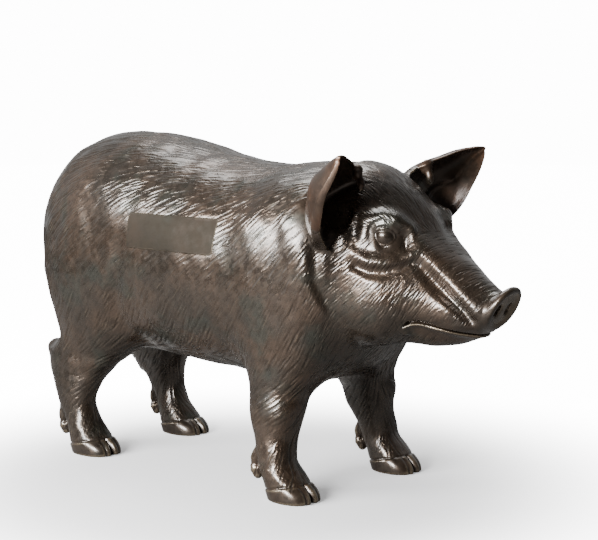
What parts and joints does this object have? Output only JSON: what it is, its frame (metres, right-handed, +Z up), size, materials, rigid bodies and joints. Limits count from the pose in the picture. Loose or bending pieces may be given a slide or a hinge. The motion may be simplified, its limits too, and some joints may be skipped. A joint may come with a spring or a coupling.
{
  "type": "pig statue",
  "caption": "Life-size standing pig, cast hollow in bronze from welded sections, with flat closed hooves to stand on a floor or plinth.",
  "frame": {"origin": "on the floor under the middle of the statue's bounding box", "axes": "+Z up, +X towards the snout, +Y to the animal's left; the statue is mirrored about the XZ plane apart from its tail and one flank plate"},
  "size_m": [1.0592, 0.392, 0.5872],
  "materials": {
    "bronze_patina": "dark brown patina, waxed, rubbed through on the high spots",
    "raw_bronze": "as cast and ground, unpatinated",
    "stainless": "turned"
  },
  "bodies": {
    "root": {"flank_core_plug_left": "bronze_patina", "flank_core_plug_right": "bronze_patina", "flank_window_plate": "bronze_patina", "forequarters_shell": "bronze_patina", "front_left_backing_band": "raw_bronze", "front_left_fixing_bush": "stainless", "front_left_leg": "bronze_patina", "front_left_sole_plate": "raw_bronze", "front_right_backing_band": "raw_bronze", "front_right_fixing_bush": "stainless", "front_right_leg": "bronze_patina", "front_right_sole_plate": "raw_bronze", "ham_core_plug_left": "bronze_patina", "ham_core_plug_right": "bronze_patina", "head_shell": "bronze_patina", "hindquarters_shell": "bronze_patina", "left_ear": "bronze_patina", "neck_backing_band": "raw_bronze", "rear_left_backing_band": "raw_bronze", "rear_left_fixing_bush": "stainless", "rear_left_leg": "bronze_patina", "rear_left_sole_plate": "raw_bronze", "rear_right_backing_band": "raw_bronze", "rear_right_fixing_bush": "stainless", "rear_right_leg": "bronze_patina", "rear_right_sole_plate": "raw_bronze", "right_ear": "bronze_patina", "shoulder_core_plug_left": "bronze_patina", "shoulder_core_plug_right": "bronze_patina", "tail": "bronze_patina", "waist_backing_band": "raw_bronze"}
  },
  "joints": []
}
